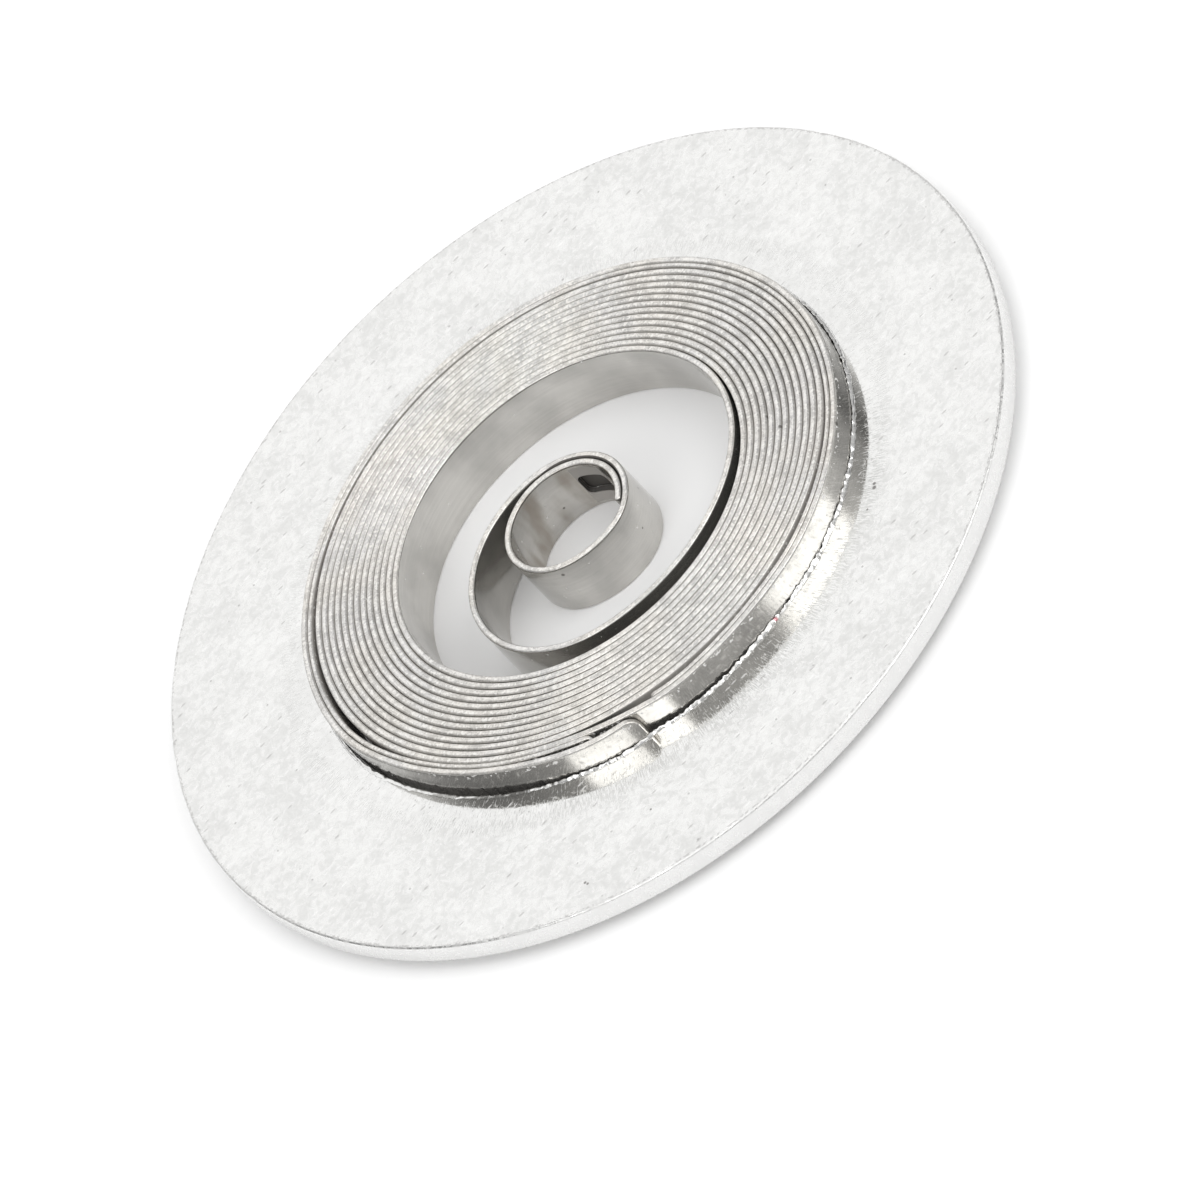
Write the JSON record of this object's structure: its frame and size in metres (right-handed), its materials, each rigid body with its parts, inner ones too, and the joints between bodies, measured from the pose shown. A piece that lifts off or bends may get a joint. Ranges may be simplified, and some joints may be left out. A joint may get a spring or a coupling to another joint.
{
  "type": "spiral power spring",
  "caption": "Flat spiral power spring wound tight with a slip bridle, held in the hole of a flat washer; a slotted eye at the middle grips an arbor.",
  "frame": {"origin": "on the washer's axis, at the level of the spring's foot", "axes": "+Z along the washer's axis, from the spring's foot to the washer's lipped face; +X and +Y in the plane of the coil"},
  "size_m": [0.018, 0.018, 0.0012],
  "materials": {
    "washer_metal": "matt, tumbled, with a fine grain",
    "strip_steel": "rolled and polished, with fine lines along the strip"
  },
  "bodies": {
    "root": {"holding_washer": "washer_metal", "mainspring": "strip_steel", "slip_bridle": "strip_steel"}
  },
  "joints": []
}
